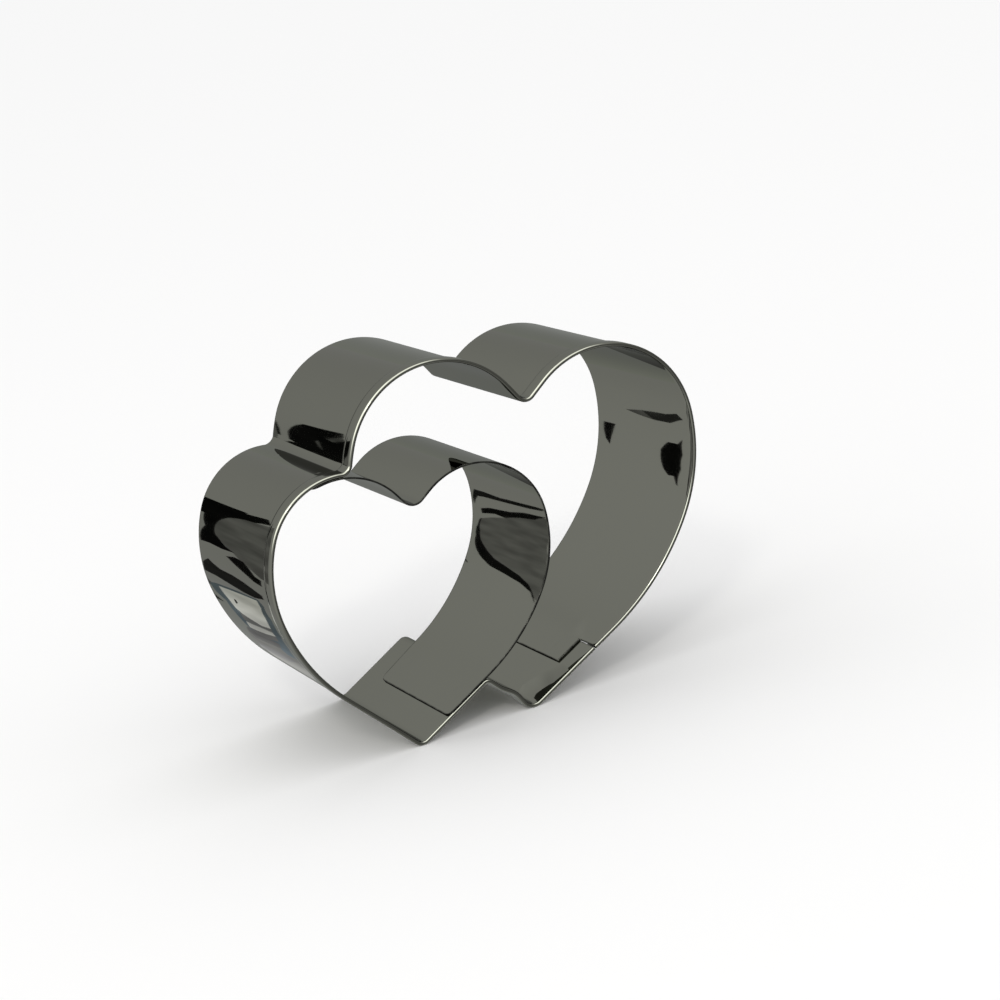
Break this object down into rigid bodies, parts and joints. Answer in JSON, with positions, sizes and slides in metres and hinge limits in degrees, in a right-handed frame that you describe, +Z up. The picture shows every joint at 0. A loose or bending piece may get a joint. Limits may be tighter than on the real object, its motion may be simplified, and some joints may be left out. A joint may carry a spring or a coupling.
{
  "type": "cookie cutter",
  "caption": "Deep sheet steel cookie cutter in the outline of a large and a small heart that overlap, with a rolled rim, a plain cutting edge and a set-back inner band.",
  "frame": {"origin": "Middle of the bounding box at its foot, on the surface that the two tips stand on", "axes": "+X along the long side towards the large heart, +Y from the rolled rim to the cutting edge, +Z up from the tips to the lobes"},
  "size_m": [0.0578, 0.025, 0.0452],
  "materials": {
    "polished_steel": "stainless steel sheet with a mirror finish",
    "weld_steel": "spot weld nugget inside the lap"
  },
  "bodies": {
    "root": {"outer_band": "polished_steel", "inner_band": "polished_steel", "seam_welds": "weld_steel", "upper_tab_welds": "weld_steel", "lower_tab_welds": "weld_steel"}
  },
  "joints": []
}
